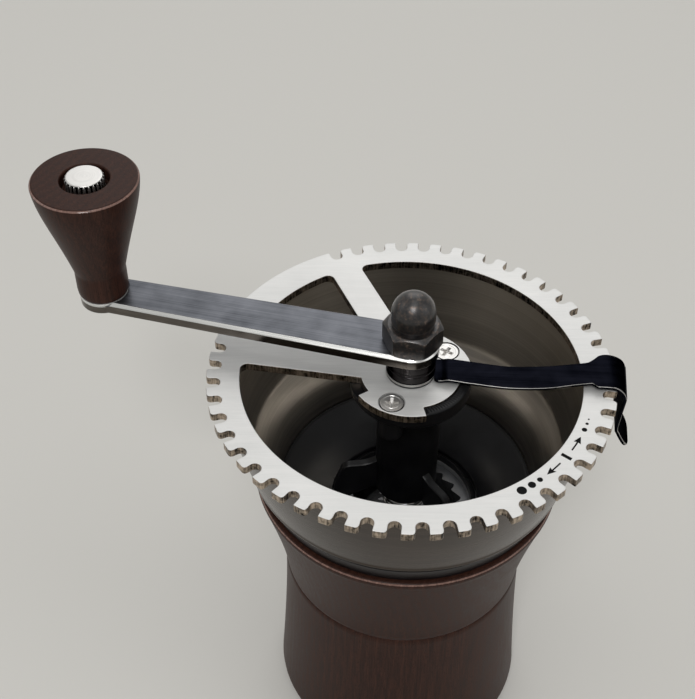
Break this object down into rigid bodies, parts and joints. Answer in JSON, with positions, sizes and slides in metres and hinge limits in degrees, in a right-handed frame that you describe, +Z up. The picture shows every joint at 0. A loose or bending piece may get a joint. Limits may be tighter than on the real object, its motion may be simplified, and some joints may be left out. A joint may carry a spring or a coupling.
{
  "type": "manual coffee grinder",
  "caption": "Hand coffee mill with a wooden body, open steel hopper, notched index wheel with a sprung selector lever, conical burrs and a crank with a turned knob.",
  "frame": {"origin": "centre of the foot pad's underside, on the drive shaft's axis", "axes": "+Z up along the drive shaft, +X towards the selector lever, +Y away from the picture's viewer"},
  "size_m": [0.1804, 0.124, 0.2049],
  "materials": {
    "rubber": "matte",
    "dark_wood": "satin oil",
    "cast_aluminium": "turned",
    "black_plastic": "fine texture",
    "spun_steel": "spun round",
    "brushed_steel": "fine brushed",
    "polished_steel": "ground",
    "dark_chrome": "polished",
    "arm_steel": "ground lengthwise",
    "screw_steel": "bright",
    "spring_steel": "blued satin",
    "black_oxide": "mottled black oxide",
    "burr_steel": "hardened",
    "bronze": "sintered"
  },
  "bodies": {
    "jar": {"foot_pad": "rubber", "catch_jar": "dark_wood"},
    "mill": {"mill_body": "dark_wood", "burr_housing": "cast_aluminium", "seal_ring": "rubber", "bowl_collar": "black_plastic", "hopper_bowl": "spun_steel", "funnel_floor": "black_plastic", "index_wheel": "brushed_steel", "hub_column": "black_plastic", "lower_bearing": "bronze", "outer_burr": "burr_steel", "burr_retainer": "cast_aluminium", "burr_spring": "polished_steel", "hub_screw_1": "screw_steel", "hub_screw_2": "screw_steel", "hub_screw_3": "screw_steel", "retainer_screw_1": "screw_steel", "retainer_screw_2": "screw_steel", "retainer_screw_3": "screw_steel"},
    "carriage": {"thrust_washer": "dark_chrome"},
    "selector": {"adjusting_bush": "polished_steel", "lever_clamp": "dark_chrome", "selector_lever": "spring_steel", "detent_tongue": "spring_steel"},
    "rotor": {"drive_shaft": "polished_steel", "crank_arm": "arm_steel", "dome_nut": "black_oxide", "inner_burr": "burr_steel", "burr_nut": "polished_steel", "knob_screw": "screw_steel", "knob_washer": "screw_steel"},
    "grip": {"knob": "dark_wood"}
  },
  "joints": [
    {"name": "head_lift", "type": "slide", "parent": "jar", "child": "mill", "axis": [0, 0, 1], "range_m": [0, 0.06]},
    {"name": "adjuster_lift", "type": "slide", "parent": "mill", "child": "carriage", "axis": [0, 0, 1], "range_m": [-0.000375, 0.000225], "deforming": ["burr_spring"]},
    {"name": "lever_turn", "type": "hinge", "parent": "carriage", "child": "selector", "pos_m": [0, 0, 0.15], "axis": [0, 0, 1], "range_deg": [-180.5, 108.5], "deforming": ["detent_tongue"]},
    {"name": "crank_turn", "type": "hinge", "parent": "carriage", "child": "rotor", "pos_m": [0, 0, 0.155], "axis": [0, 0, 1], "continuous": true},
    {"name": "knob_spin", "type": "hinge", "parent": "rotor", "child": "grip", "pos_m": [-0.09492, 0.02437, 0.162], "axis": [0, 0, 1], "continuous": true}
  ],
  "couplings": [
    {"joint": "lever_turn", "follows": "adjuster_lift", "rad_per_m": 8377.6}
  ]
}
